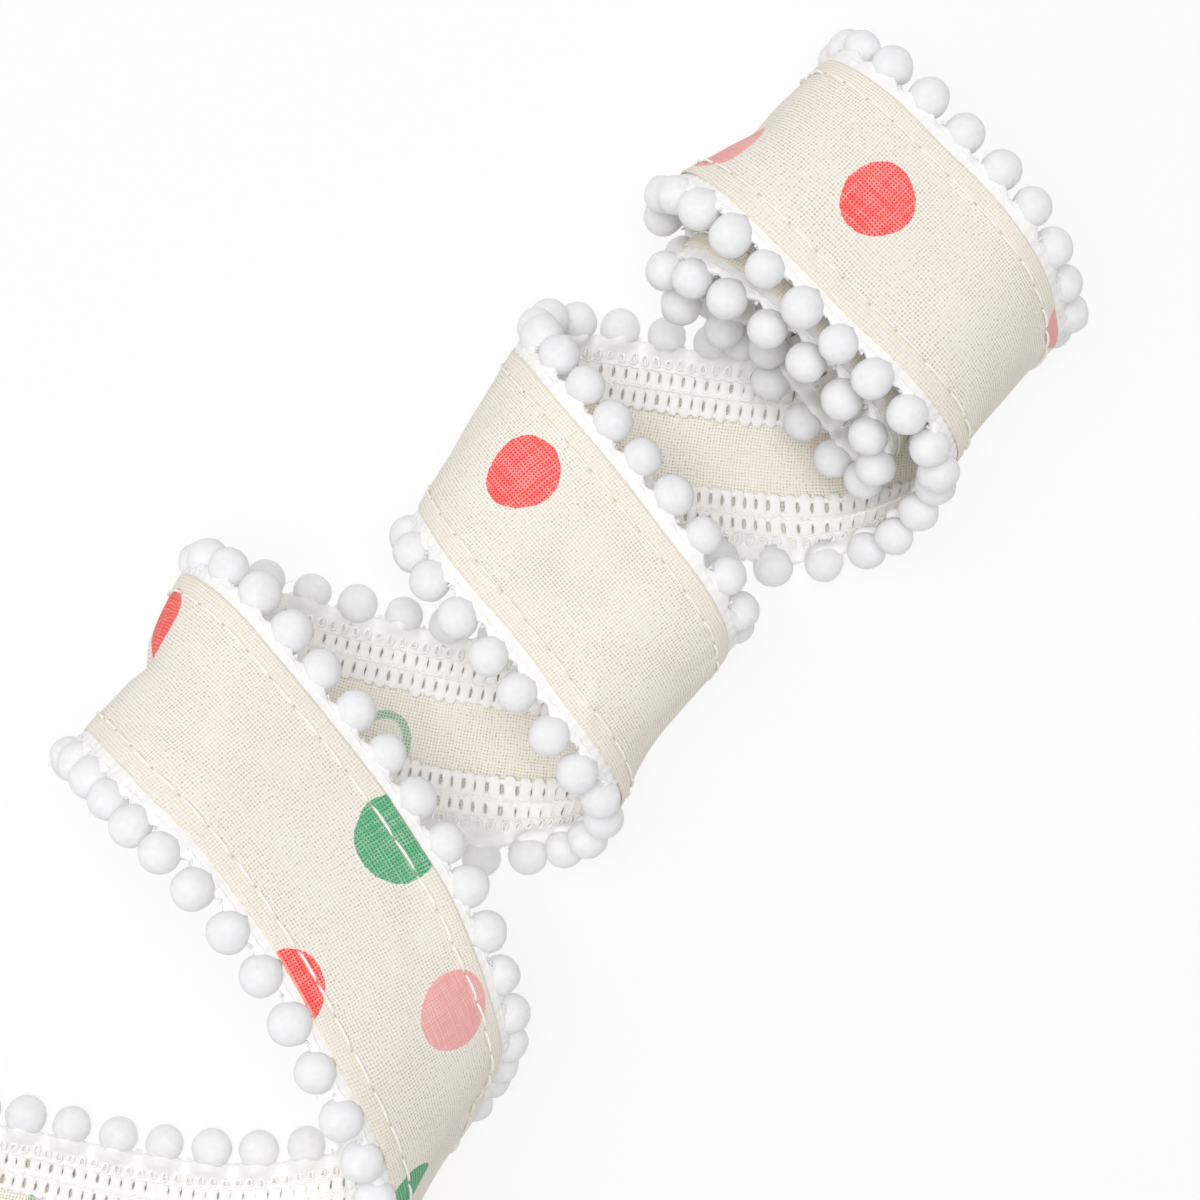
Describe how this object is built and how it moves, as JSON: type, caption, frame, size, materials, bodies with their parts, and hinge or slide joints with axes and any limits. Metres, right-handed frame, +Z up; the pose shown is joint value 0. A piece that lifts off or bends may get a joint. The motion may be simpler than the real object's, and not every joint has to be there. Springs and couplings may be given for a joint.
{
  "type": "pompom fringe trim",
  "caption": "Narrow polka-dot cotton ribbon with a cotton pompom fringe sewn along both edges, lying in loose leaning coils; sewn onto curtains, cushions and blankets as an edging",
  "frame": {"origin": "middle of the trim's outline seen from above, on the surface it lies on", "axes": "+X along the fold lines of the coils, which is also the way the coils follow each other; +Y to the bends on the left; +Z up"},
  "size_m": [0.2114, 0.079, 0.0543],
  "materials": {
    "cream_cotton_cloth": "matte plain weave with uneven printed dots",
    "white_cotton_yarn_upper": "matte soft cotton yarn",
    "white_cotton_yarn_lower": "matte soft cotton yarn"
  },
  "bodies": {
    "root": {"ribbon_cloth": "cream_cotton_cloth", "pompom_tape_upper": "white_cotton_yarn_upper", "pompom_tape_lower": "white_cotton_yarn_lower"}
  },
  "joints": []
}
